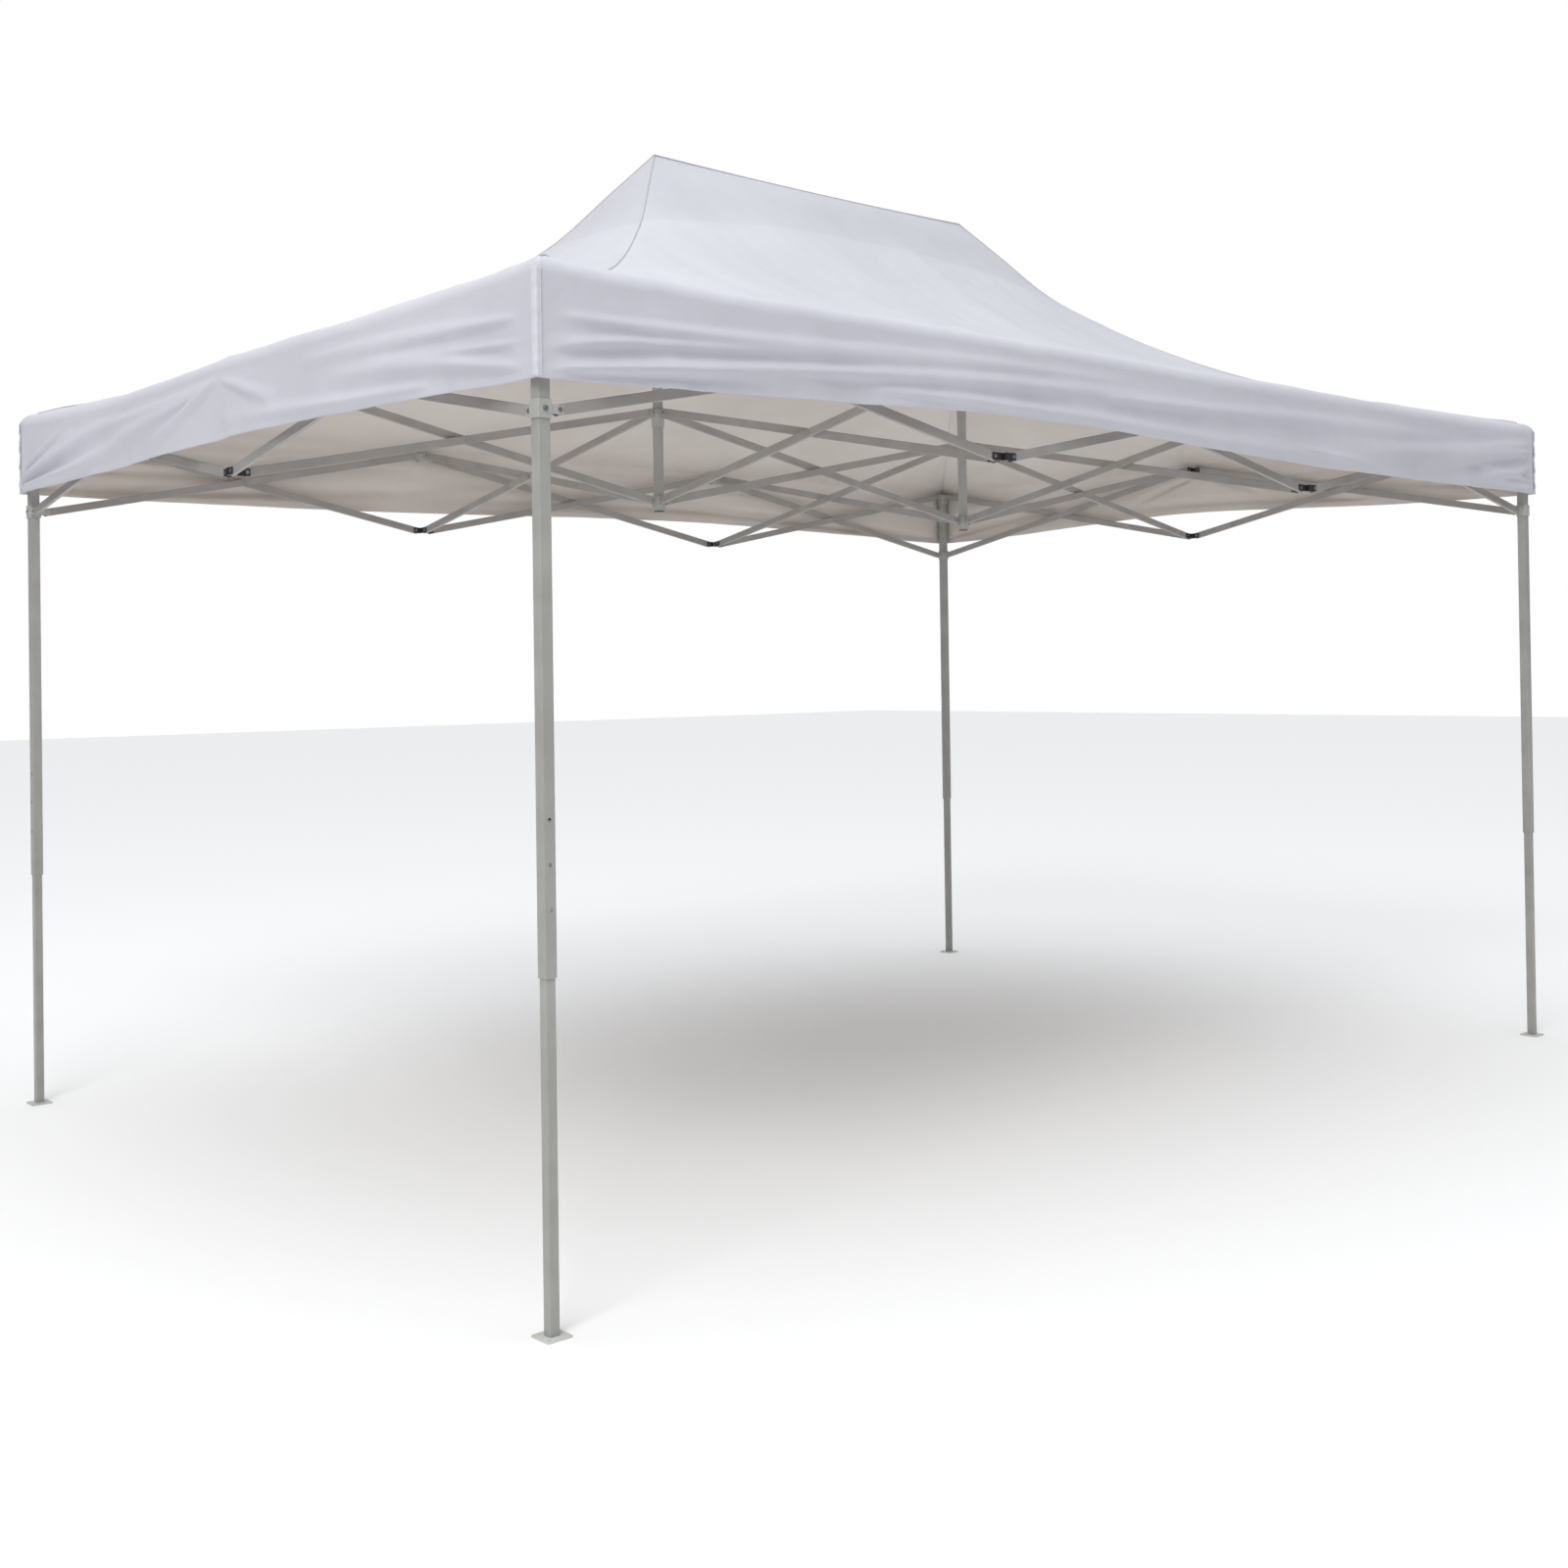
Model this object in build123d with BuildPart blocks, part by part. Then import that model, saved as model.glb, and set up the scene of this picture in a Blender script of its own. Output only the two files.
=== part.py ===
from build123d import *

import os
from math import copysign

# Folding canopy, 3 x 4.5 m class: four telescopic legs, seventeen scissor units, two centre poles
# and a hipped fabric cover in four panels.
#
# Millimetres. The origin is on the ground at the middle of the plan. +X runs along the long sides,
# +Y along the short ones and +Z up. The frame stands open, with its legs pulled out to full height.

# ---------------------------------------------------------------- driving dimensions
PITCH = 1467.0  # distance between neighbouring scissor nodes, the same both ways
PIN_NEAR = 30.0  # from a node's upright axis to its pin, at the hubs and along the sides
PIN_FAR = 40.0  # the same at the legs, and at the side nodes' inward pins
TOP = 2245.0  # height of the upper pins
LOW = 1960.0  # height of the lower pins
HALF_X = 1.5 * PITCH + PIN_FAR - PIN_NEAR  # leg axes
HALF_Y = PITCH + PIN_FAR - PIN_NEAR
MID_X = 0.5 * PITCH  # poles, and the nodes of the long sides
FIT = 0.1  # between a face and the one that it seats on

# scissor bars: rectangular tube with a plastic plug in each end
BAR_T = 12.0
BAR_H = 25.0
BAR_WALL = 1.0
BAR_R = 2.0
BAR_PAST_PIN = 6.0
PLUG_NOSE = 6.0
PLUG_NOSE_IN = 0.4  # the nose is this much lower than the bar, above and below
PLUG_IN = 22.0
PLUG_FIT = 0.3  # a plug is this much smaller than its bore
LAY = 6.3  # each bar lies this far to its own side of the unit's plane
PIN_R = 3.05
HOLE_R = 3.12
HEAD_R = 5.5
HEAD_T = 1.6

# forks that hold the bar ends
CHEEK_T = 3.0
CHEEK_H = 20.0
CHEEK_PAST_PIN = 9.0
CHEEK_R = 2.0
ROOT_IN = 1.0  # the cheeks run this far into the wall that they stand on
CLEVIS_R = 1.5
SIDE_PLAY = 0.3
BLOCK = 31.0  # square core of a hub or side bracket
BLOCK_R = 2.5
BRACKET_H = 34.0
BRACKET_DROP = 3.0  # its middle is this far below the pins
HUB_ABOVE = 13.0
HUB_BELOW = 46.0
ROOT_GAP = 15.0  # from a pin back to the wall that its fork stands on
MEET_GAP = 2.0  # a clevis on a bar stops this short of the node axis
INWARD_GAP = 19.0  # and this short of it where it has to clear two others

# legs
LEG = 30.0
LEG_WALL = 1.2
LEG_FROM = 756.0
LEG_TO = 2244.0
TUBE_R = 2.0
INNER = 25.0
INNER_WALL = 1.2
INNER_TO = 1090.0
FOOT = 65.0
FOOT_T = 4.0
FOOT_R = 5.0
SPIGOT_UP = 25.0
PEG_R = 4.5
PEG_AT = 23.0
BUTTON_R = 4.0
BUTTON_IN = 6.0  # how far the button reaches into the inner tube
BUTTON_SHORT = 0.3  # its nose stops this far short of the outer tube
BUTTON_HOLE_R = 4.4
BUTTON_Z = 900.0
HEIGHT_STEP = 95.0
HEIGHTS = 3
CAP = 37.0
CAP_H = 44.0
CAP_ABOVE = 11.0  # above the upper pins
SLIDER = 36.0
SLIDER_H = 41.0
SLIDER_BORE = 30.6
PULL_R = 6.0
PULL_OUT = 5.5
PULL_TAPER = 12.0

# centre poles
POLE = 25.0
POLE_WALL = 1.4
POLE_BORE = 25.8
POLE_FROM = 1925.0
POLE_TO = 2900.0
LOWER_HUB_FROM = 1930.0
LOWER_HUB_TO = 1974.0
FOOT_PLUG_T = 3.0
TIP = 21.0
TIP_WALL = 1.2
TIP_FROM = 2450.0
TIP_TO = 3040.0
TIP_CAP = 25.0
TIP_CAP_H = 18.0
TIP_CAP_TAPER = 20.0

# cover
COVER_X = 2250.0
COVER_Y = 1500.0
EAVE = 2264.0
PEAK = 3090.0
VALANCE = 242.0
CLOTH = 1.2
HEM_RISE = 45.0
SEAM_GAP = 1.0
HEM_FLAT = 60.0  # the hem stays level this far in from each corner
CUT_MARGIN = 10.0
# the roof's fall: share of the way out to the eave, and share of the rise that is left there
FALL = (
    (0, 1),
    (0.07, 0.845),
    (0.15, 0.665),
    (0.25, 0.515),
    (0.41, 0.333),
    (0.6, 0.188),
    (0.8, 0.09),
    (1, 0),
)

NODES = {
    "hub_west": (-MID_X, 0),
    "hub_east": (MID_X, 0),
    "front_west": (-MID_X, -HALF_Y),
    "front_east": (MID_X, -HALF_Y),
    "back_west": (-MID_X, HALF_Y),
    "back_east": (MID_X, HALF_Y),
    "left": (-HALF_X, 0),
    "right": (HALF_X, 0),
    "leg_front_left": (-HALF_X, -HALF_Y),
    "leg_front_right": (HALF_X, -HALF_Y),
    "leg_back_left": (-HALF_X, HALF_Y),
    "leg_back_right": (HALF_X, HALF_Y),
}
# every scissor unit: its name and the nodes that it spans, the one nearer the west hub first
UNITS = {
    "inner_front_west": ("hub_west", "front_west"),
    "inner_back_west": ("hub_west", "back_west"),
    "inner_left": ("hub_west", "left"),
    "inner_middle": ("hub_west", "hub_east"),
    "inner_front_east": ("hub_east", "front_east"),
    "inner_back_east": ("hub_east", "back_east"),
    "inner_right": ("hub_east", "right"),
    "front_left": ("front_west", "leg_front_left"),
    "front_middle": ("front_west", "front_east"),
    "front_right": ("front_east", "leg_front_right"),
    "back_left": ("back_west", "leg_back_left"),
    "back_middle": ("back_west", "back_east"),
    "back_right": ("back_east", "leg_back_right"),
    "left_front": ("leg_front_left", "left"),
    "left_back": ("leg_back_left", "left"),
    "right_front": ("leg_front_right", "right"),
    "right_back": ("leg_back_right", "right"),
}
LONG_SIDE = ("front_west", "front_east", "back_west", "back_east")
SHORT_SIDE = ("left", "right")
UP = Vector(0, 0, 1)

os.makedirs("parts", exist_ok=True)


def save(part, name):
    """Labels a finished piece and writes it."""
    part.label = name
    export_step(part, f"parts/{name}.step")


# ---------------------------------------------------------------- where the pins are
def axis_of(node):
    return Vector(*NODES[node], 0)


def way(start, end):
    """The level direction from one node to another."""
    return (axis_of(end) - axis_of(start)).normalized()


def reach(node, heading):
    """From a node's axis out to its pin for a unit that leaves it on this heading."""
    if node.startswith("leg"):
        return PIN_FAR
    inward = (node in LONG_SIDE and abs(heading.Y) > 0.5) or (node in SHORT_SIDE and abs(heading.X) > 0.5)
    return PIN_FAR if inward else PIN_NEAR


def pin_point(node, heading, height):
    return axis_of(node) + heading * reach(node, heading) + UP * height


def ends_of(unit, bar):
    """A bar's ends as (node, heading away from that node, pin height). Bar a starts high, bar b low."""
    start, end = UNITS[unit]
    heading = way(start, end)
    near, far = (TOP, LOW) if bar == "a" else (LOW, TOP)
    return (start, heading, near), (end, heading * -1, far)


def lay_of(unit, bar):
    """How far a bar lies from its unit's plane, as a vector."""
    across = UP.cross(way(*UNITS[unit]))
    return across * (LAY if bar == "a" else -LAY)


def meetings(node, height):
    """The bar ends that meet at a node's upper or lower pins: unit, bar and heading."""
    found = []
    for unit in UNITS:
        for bar in ("a", "b"):
            for place, heading, level in ends_of(unit, bar):
                if place == node and level == height:
                    found.append((unit, bar, heading))
    return found


def has_own_connector(node, height):
    """The short sides' upper pins and all the sides' lower pins sit in clevises carried by the bars."""
    if node in SHORT_SIDE:
        return False
    return not (node in LONG_SIDE and height == LOW)


# ---------------------------------------------------------------- forks and their pins
def add_fork(pin, heading, lay, wall):
    """Two cheeks from a wall, that far from the pin, out past the pin."""
    across = lay.normalized()
    middle = pin + lay + heading * ((CHEEK_PAST_PIN - wall) / 2)
    for side in (-1, 1):
        spot = middle + across * side * (BAR_T / 2 + SIDE_PLAY + CHEEK_T / 2)
        with BuildSketch(Plane(origin=spot, x_dir=heading, z_dir=across)) as cheek:
            RectangleRounded(wall + CHEEK_PAST_PIN, CHEEK_H, CHEEK_R)
        extrude(cheek.sketch, amount=CHEEK_T / 2, both=True)
    with Locations(Plane(origin=pin + lay, x_dir=heading, z_dir=across)):
        Hole(HOLE_R, depth=BAR_T)


def fork_pin(pin, heading, lay):
    """A rivet across a fork, with a head outside each cheek."""
    across = lay.normalized()
    reach_out = BAR_T / 2 + SIDE_PLAY + CHEEK_T + FIT
    with BuildPart() as rivet:
        with BuildSketch(Plane(origin=pin + lay, x_dir=heading, z_dir=across)):
            Circle(PIN_R)
        extrude(amount=reach_out, both=True)
        for side in (-1, 1):
            face = pin + lay + across * side * reach_out
            with BuildSketch(Plane(origin=face, x_dir=heading, z_dir=across * side)):
                Circle(HEAD_R)
            extrude(amount=HEAD_T)
    return rivet.part


def fork_pins(node, height):
    return [
        fork_pin(pin_point(node, heading, height), heading, lay_of(unit, bar))
        for unit, bar, heading in meetings(node, height)
    ]


def add_forks(node, height, half):
    """Forks for every bar end at a connector whose core reaches half its width from the axis."""
    for unit, bar, heading in meetings(node, height):
        wall = reach(node, heading) - half
        add_fork(pin_point(node, heading, height), heading, lay_of(unit, bar), wall + ROOT_IN)


def add_column(node, size, low, high):
    """A square column about a node's axis."""
    with BuildSketch(Plane.XY.offset(low)) as section:
        with Locations(NODES[node]):
            RectangleRounded(size, size, BLOCK_R)
    extrude(section.sketch, amount=high - low)


def cut_column(node, size, low, high):
    with BuildSketch(Plane.XY.offset(low)) as section:
        with Locations(NODES[node]):
            Rectangle(size, size)
    extrude(section.sketch, amount=high - low, mode=Mode.SUBTRACT)


def square_tube(node, size, wall, low, high):
    """A length of square tube about a node's axis."""
    with BuildPart() as tube:
        with BuildSketch(Plane.XY.offset(low)):
            with Locations(NODES[node]):
                RectangleRounded(size, size, TUBE_R)
                Rectangle(size - 2 * wall, size - 2 * wall, mode=Mode.SUBTRACT)
        extrude(amount=high - low)
    return tube


# ---------------------------------------------------------------- scissor bars
def bar_solids(unit, bar):
    """One bar: its tube, its end plugs, the crossing rivet on bar a, and any clevis that it carries."""
    ends = ends_of(unit, bar)
    lay = lay_of(unit, bar)
    pins = [pin_point(*end) for end in ends]
    along = (pins[1] - pins[0]).normalized()
    across = lay.normalized()
    length = (pins[1] - pins[0]).length
    middle = (pins[0] + pins[1]) * 0.5
    frame = Plane(origin=middle + lay, x_dir=along, z_dir=across)
    solids = []

    with BuildPart() as tube:
        with BuildSketch(Plane(origin=frame.origin, x_dir=frame.y_dir, z_dir=along)):
            RectangleRounded(BAR_H, BAR_T, BAR_R)
            Rectangle(BAR_H - 2 * BAR_WALL, BAR_T - 2 * BAR_WALL, mode=Mode.SUBTRACT)
        extrude(amount=length / 2 + BAR_PAST_PIN, both=True)
        with Locations(frame):
            with Locations((-length / 2, 0), (0, 0), (length / 2, 0)):
                Hole(HOLE_R, depth=BAR_T)
    solids.append(tube.part)

    for side in (-1, 1):
        pin_at = middle + lay + along * side * length / 2
        with BuildPart() as plug:
            with BuildSketch(Plane(origin=pin_at, x_dir=along * side, z_dir=across)):
                with Locations(((BAR_PAST_PIN - PLUG_IN) / 2, 0)):
                    Rectangle(PLUG_IN + BAR_PAST_PIN, BAR_H - 2 * BAR_WALL - PLUG_FIT)
            extrude(amount=(BAR_T - 2 * BAR_WALL - PLUG_FIT) / 2, both=True)
            with BuildSketch(Plane(origin=pin_at, x_dir=along * side, z_dir=across)):
                with BuildLine():
                    edge = BAR_H / 2 - PLUG_NOSE_IN
                    root = BAR_PAST_PIN + FIT
                    Line((root, -edge), (root, edge))
                    ThreePointArc((root, edge), (BAR_PAST_PIN + PLUG_NOSE, 0), (root, -edge))
                make_face()
            extrude(amount=BAR_T / 2, both=True)
            with Locations(Plane(origin=pin_at, x_dir=along * side, z_dir=across)):
                Hole(HOLE_R, depth=BAR_T)
        solids.append(plug.part)

    if bar == "a":
        inner_face = -2 * LAY - BAR_T / 2 - FIT
        outer_face = BAR_T / 2 + FIT
        with BuildPart() as rivet:
            with BuildSketch(frame.offset(inner_face)):
                Circle(PIN_R)
            extrude(amount=outer_face - inner_face)
            with BuildSketch(frame.offset(outer_face)):
                Circle(HEAD_R)
            extrude(amount=HEAD_T)
            with BuildSketch(frame.offset(inner_face)):
                Circle(HEAD_R)
            extrude(amount=-HEAD_T)
        solids.append(rivet.part)

    for (node, heading, height), pin in zip(ends, pins):
        if has_own_connector(node, height):
            continue
        core = reach(node, heading) - ROOT_GAP
        thick = core - (MEET_GAP if reach(node, heading) == PIN_NEAR else INWARD_GAP)
        with BuildPart() as clevis:
            spot = pin + lay - heading * (ROOT_GAP + thick / 2)
            with BuildSketch(Plane(origin=spot, x_dir=heading, z_dir=UP)):
                RectangleRounded(thick, BAR_T + 2 * (SIDE_PLAY + CHEEK_T), CLEVIS_R)
            extrude(amount=CHEEK_H / 2, both=True)
            add_fork(pin, heading, lay, ROOT_GAP + ROOT_IN)
        solids.append(clevis.part)
        solids.append(fork_pin(pin, heading, lay))
    return solids


for unit in UNITS:
    for bar in ("a", "b"):
        name = f"bar_{unit}_{bar}"
        save(Compound(children=bar_solids(unit, bar)), name)


# ---------------------------------------------------------------- hubs, poles and side brackets
for side in ("west", "east"):
    node = f"hub_{side}"

    with BuildPart() as upper_hub:
        add_column(node, BLOCK, TOP - HUB_BELOW, TOP + HUB_ABOVE)
        add_forks(node, TOP, BLOCK / 2)
        cut_column(node, POLE_BORE, TOP - HUB_BELOW, TOP + HUB_ABOVE)
    save(Compound(children=[upper_hub.part, *fork_pins(node, TOP)]), f"upper_hub_{side}")

    with BuildPart() as lower_hub:
        add_column(node, BLOCK, LOWER_HUB_FROM, LOWER_HUB_TO)
        add_forks(node, LOW, BLOCK / 2)
        cut_column(node, POLE + 2 * FIT, LOWER_HUB_FROM, LOWER_HUB_TO)
    pole = square_tube(node, POLE, POLE_WALL, POLE_FROM, POLE_TO)
    with BuildPart() as foot_plug:
        add_column(node, POLE, POLE_FROM - FOOT_PLUG_T, POLE_FROM - FIT)
    save(
        Compound(children=[pole.part, lower_hub.part, foot_plug.part, *fork_pins(node, LOW)]),
        f"centre_pole_{side}",
    )

    tip = square_tube(node, TIP, TIP_WALL, TIP_FROM, TIP_TO)
    with BuildPart() as tip_cap:
        with BuildSketch(Plane.XY.offset(TIP_TO + FIT)):
            with Locations(NODES[node]):
                RectangleRounded(TIP_CAP, TIP_CAP, BLOCK_R)
        extrude(amount=TIP_CAP_H, taper=TIP_CAP_TAPER)
    save(Compound(children=[tip.part, tip_cap.part]), f"pole_top_{side}")

for node in LONG_SIDE:
    with BuildPart() as bracket:
        middle = TOP - BRACKET_DROP
        add_column(node, BLOCK, middle - BRACKET_H / 2, middle + BRACKET_H / 2)
        add_forks(node, TOP, BLOCK / 2)
    save(Compound(children=[bracket.part, *fork_pins(node, TOP)]), f"bracket_{node}")


# ---------------------------------------------------------------- legs
# each corner is the last one turned by a quarter, so the holes face round the square
HOLE_WAYS = {
    "leg_front_left": Vector(0, -1, 0),
    "leg_front_right": Vector(1, 0, 0),
    "leg_back_right": Vector(0, 1, 0),
    "leg_back_left": Vector(-1, 0, 0),
}
for node, face in HOLE_WAYS.items():
    centre = axis_of(node)
    cap_top = TOP + CAP_ABOVE

    outer = square_tube(node, LEG, LEG_WALL, LEG_FROM, LEG_TO)
    with outer:
        for step in range(HEIGHTS):
            spot = centre + UP * (BUTTON_Z + step * HEIGHT_STEP) + face * LEG / 2
            with Locations(Plane(origin=spot, z_dir=face)):
                Hole(BUTTON_HOLE_R, depth=LEG / 3)
    with BuildPart() as cap:
        add_column(node, CAP, cap_top - CAP_H, cap_top)
        add_forks(node, TOP, CAP / 2)
        cut_column(node, LEG + 2 * FIT, cap_top - CAP_H, LEG_TO + FIT)
    save(Compound(children=[outer.part, cap.part, *fork_pins(node, TOP)]), f"outer_{node}")

    with BuildPart() as slider:
        add_column(node, SLIDER, LOW - SLIDER_H / 2, LOW + SLIDER_H / 2)
        add_forks(node, LOW, SLIDER / 2)
        cut_column(node, SLIDER_BORE, LOW - SLIDER_H / 2, LOW + SLIDER_H / 2)
    with BuildPart() as pull:
        spot = centre + UP * LOW + face * (SLIDER / 2 + FIT)
        with BuildSketch(Plane(origin=spot, z_dir=face)):
            Circle(PULL_R)
        extrude(amount=PULL_OUT, taper=PULL_TAPER)
    save(Compound(children=[slider.part, pull.part, *fork_pins(node, LOW)]), node.replace("leg", "slider"))

    inner = square_tube(node, INNER, INNER_WALL, FOOT_T + FIT, INNER_TO)
    with inner:
        with Locations(Plane(origin=centre + UP * BUTTON_Z + face * INNER / 2, z_dir=face)):
            Hole(BUTTON_R + FIT, depth=INNER / 3)
    with BuildPart() as button:
        spot = centre + UP * BUTTON_Z + face * (INNER / 2 - BUTTON_IN)
        with BuildSketch(Plane(origin=spot, z_dir=face)):
            Circle(BUTTON_R)
        extrude(amount=BUTTON_IN + (LEG - INNER) / 2 - LEG_WALL - BUTTON_SHORT)
    spigot = INNER - 2 * INNER_WALL - PLUG_FIT
    with BuildPart() as foot:
        with BuildSketch():
            with Locations(NODES[node]):
                RectangleRounded(FOOT, FOOT, FOOT_R)
            with Locations((centre.X + copysign(PEG_AT, centre.X), centre.Y + copysign(PEG_AT, centre.Y))):
                Circle(PEG_R, mode=Mode.SUBTRACT)
        extrude(amount=FOOT_T)
        with BuildSketch(Plane.XY.offset(FOOT_T)):
            with Locations(NODES[node]):
                Rectangle(spigot, spigot)
        extrude(amount=SPIGOT_UP)
    save(Compound(children=[inner.part, button.part, foot.part]), f"inner_{node}")


# ---------------------------------------------------------------- cover
def panel_outline(start, end):
    """Cross-section of a panel with its valance, as (outward, up) points, from the ridge to the hem."""
    top = [(start + (end - start) * share, EAVE + (PEAK - EAVE) * left) for share, left in FALL]
    under = [(out, up - CLOTH) for out, up in top[:-1]]
    hem = EAVE - VALANCE
    inside = end - CLOTH
    return top + [(end, hem), (inside, hem), (inside, EAVE - CLOTH)] + under[::-1]


def cover_panel(start, end, half_eave, half_ridge, turn):
    """One panel, built facing +X and turned about Z. Its ends are cut along the hips."""
    with BuildPart() as panel:
        with BuildSketch(Plane.XZ):
            with BuildLine():
                Polyline(*panel_outline(start, end), close=True)
            make_face()
        extrude(amount=half_eave, both=True)
        with BuildSketch(Plane.XY.offset(EAVE - VALANCE - CUT_MARGIN)):
            with BuildLine():
                eave = half_eave - SEAM_GAP
                corners = [(end, -eave), (end, eave)]
                if half_ridge:
                    ridge = half_ridge - SEAM_GAP
                    corners += [(start, ridge), (start, -ridge)]
                else:
                    corners.append((start, 0))
                Polyline(*corners, close=True)
            make_face()
        extrude(amount=PEAK - EAVE + VALANCE + 2 * CUT_MARGIN, mode=Mode.INTERSECT)
        with BuildSketch(Plane.YZ.offset(end - 4 * CLOTH)):
            with BuildLine():
                hem = EAVE - VALANCE
                low_end = half_eave - HEM_FLAT
                ThreePointArc((-low_end, hem), (0, hem + HEM_RISE), (low_end, hem))
                Line((low_end, hem), (-low_end, hem))
            make_face()
        extrude(amount=8 * CLOTH, mode=Mode.SUBTRACT)
    return panel.part.rotate(Axis.Z, turn)


long_panel = (SEAM_GAP, COVER_Y, COVER_X, MID_X)
short_panel = (MID_X + SEAM_GAP, COVER_X, COVER_Y, 0.0)
PANELS = {
    "canopy_front": (long_panel, -90),
    "canopy_back": (long_panel, 90),
    "canopy_left": (short_panel, 180),
    "canopy_right": (short_panel, 0),
}
for name, (sizes, turn) in PANELS.items():
    save(cover_panel(*sizes, turn), name)
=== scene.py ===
import math

import bpy
import numpy as np
from mathutils import Euler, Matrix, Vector


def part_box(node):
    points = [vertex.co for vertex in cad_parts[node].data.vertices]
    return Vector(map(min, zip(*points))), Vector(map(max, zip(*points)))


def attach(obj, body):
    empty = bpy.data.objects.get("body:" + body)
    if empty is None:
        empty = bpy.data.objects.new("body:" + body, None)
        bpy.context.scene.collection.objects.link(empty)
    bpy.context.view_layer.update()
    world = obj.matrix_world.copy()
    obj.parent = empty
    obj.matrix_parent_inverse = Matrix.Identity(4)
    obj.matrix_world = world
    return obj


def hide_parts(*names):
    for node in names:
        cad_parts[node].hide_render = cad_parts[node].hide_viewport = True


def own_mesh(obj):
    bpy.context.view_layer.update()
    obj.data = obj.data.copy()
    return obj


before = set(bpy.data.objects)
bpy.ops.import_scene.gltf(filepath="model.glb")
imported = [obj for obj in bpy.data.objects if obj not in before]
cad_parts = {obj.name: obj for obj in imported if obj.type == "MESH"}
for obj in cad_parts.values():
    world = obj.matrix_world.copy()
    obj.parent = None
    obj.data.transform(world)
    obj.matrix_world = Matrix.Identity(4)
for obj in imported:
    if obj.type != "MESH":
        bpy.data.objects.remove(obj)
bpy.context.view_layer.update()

# ---------------------------------------------------------------- sizes, in metres, from the frame
front_low, front_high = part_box("canopy_front")
left_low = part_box("canopy_left")[0]
cap_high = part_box("outer_leg_front_left")[1]
pole_low, pole_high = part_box("pole_top_east")
EDGE_X = -left_low.x - 0.008  # the cloth hugs the legs at the short sides
EDGE_Y = -front_low.y + 0.010  # and clears their caps at the long ones
EAVE_UP = 0.012  # how far the cloth stands above the caps
PEAK_X = (pole_low.x + pole_high.x) / 2
PEAK_Z = front_high.z
EAVE_Z = cap_high.z + EAVE_UP
HEM_Z = front_low.z
CLOTH = 0.0008  # thickness of the cloth
TAU = 2 * math.pi

# the roof: fall of the hips, as the share of the way out and the share of the rise that is left there
HIP_FALL = (
    (0.0, 1.0),
    (0.07, 0.845),
    (0.15, 0.665),
    (0.25, 0.515),
    (0.41, 0.333),
    (0.6, 0.188),
    (0.8, 0.09),
    (1.0, 0.0),
)
BULGE = 0.085  # how far the long panels stand above a flat line between their hips
BULGE_AT = 0.18  # share of the slope at which they stand highest, along the seam of the upper layer
SHORT_BULGE = 0.02  # how far the short panels do so, halfway down
RIDGE_SAG = 0.008  # in the middle of the ridge
SEAM_AT = 0.175  # share of the slope down to the seam of the upper layer
ROUND = 0.03  # radius of the cloth over the eave
LIP = 0.004  # how far the roof cloth runs straight down below that
LIP_ROW = 0.0005  # distance of its last but one row of points from the edge

# the eave: it rests on the nodes and sags between them, and the leg tops tent it up
NODE_DIP = 0.003  # how far it hangs at the nodes between the legs
CORNER_PEAK = 0.010  # how high the leg tops lift it
CORNER_REACH = 0.12  # and how far along the side that fades
# sag of each side between its nodes: the half to the left as seen from outside, and the half to the right
SAGS = {"front": (0.004, 0.007), "back": (0.007, 0.006), "left": (0.018, 0.002), "right": (0.006, 0.012)}

# fine waves of the cloth: the shortest length, the ratio of one length to the last, and height to length
RIPPLE_FIRST = 0.075
RIPPLE_STEP = 1.47
RIPPLE_STEEP = 0.0042

# the valances
VALANCE_HIGH = 0.24  # about the height from the hem to the roof's edge
HEM_BAND = 0.022
HEM_THICK = 0.0007  # how far the doubled hem stands out
HEM_UNDER = 0.002  # how far it hangs below the CAD panel
HEM_EASE = 0.35  # distance from a corner over which its pull-up begins
FOLD_DEPTH = 2.2  # the folds' depths and widths below are multiplied by these
FOLD_WIDTH = 1.35
BELLY = 0.008  # how far the hem swings out between the corners
PUSH_TOP = 0.0015  # the most that a fold stands out at the roof's edge, to clear the folded roof panel
PUSH_SLOPE = 0.3  # and how much more for each metre below
PUSH_IN = 0.002  # the most that a fold goes in
CALM_EASE = 0.10  # distance from a corner over which the folds begin
BELLY_EASE = 0.5  # and over which the belly does
COLUMNS = {"front": 361, "back": 361, "left": 261, "right": 261}

# piping and corner strips
PIPING_R = 0.0026
PIPING_PROUD = 0.001  # height of its middle above the roof
STRIP_R = 0.006  # radius round the corner
STRIP_WING = 0.009  # width of its flat part on either side
STRIP_OUT = 0.003  # how far a strip stands out from the valances
STRIP_LAP = 0.006  # how far its top stands above the end of the roof's rounding
STITCH_IN = 0.003  # distance of the stitching from the strip's edge
STITCH_DEEP = 0.0012
STITCH_WIDE = 0.0015

SKY_TINT = (0.96, 0.98, 1.0)

# how the folded cover gathers: towards the middle of the legs, to the share of its width that they keep
GATHER_LONG = {"axis": (1, 0, 0), "anchor": (-0.747, 0, 0), "keep": 0.1432}
GATHER_SHORT = {"axis": (0, 1, 0), "anchor": (0, -1.51, 0), "keep": 0.1517}

# each side: way out, way along, the body that its valance rides, how it gathers, and the rise of its hem: how
# high, how far along the side from its middle, and how wide
SIDES = {
    "front": ((0, -1), (1, 0), "bracket_front_west", GATHER_LONG, (0.042, -0.65, 0.95)),
    "back": ((0, 1), (-1, 0), "bracket_back_west", GATHER_LONG, (0.036, -0.6, 1.2)),
    "left": ((-1, 0), (0, -1), "outer_leg_front_left", GATHER_SHORT, (0.024, 0.2, 0.9)),
    "right": ((1, 0), (0, 1), "outer_leg_front_right", GATHER_SHORT, (0.044, 0.1, 0.8)),
}
LONG_SIDES = ("front", "back")


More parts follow.
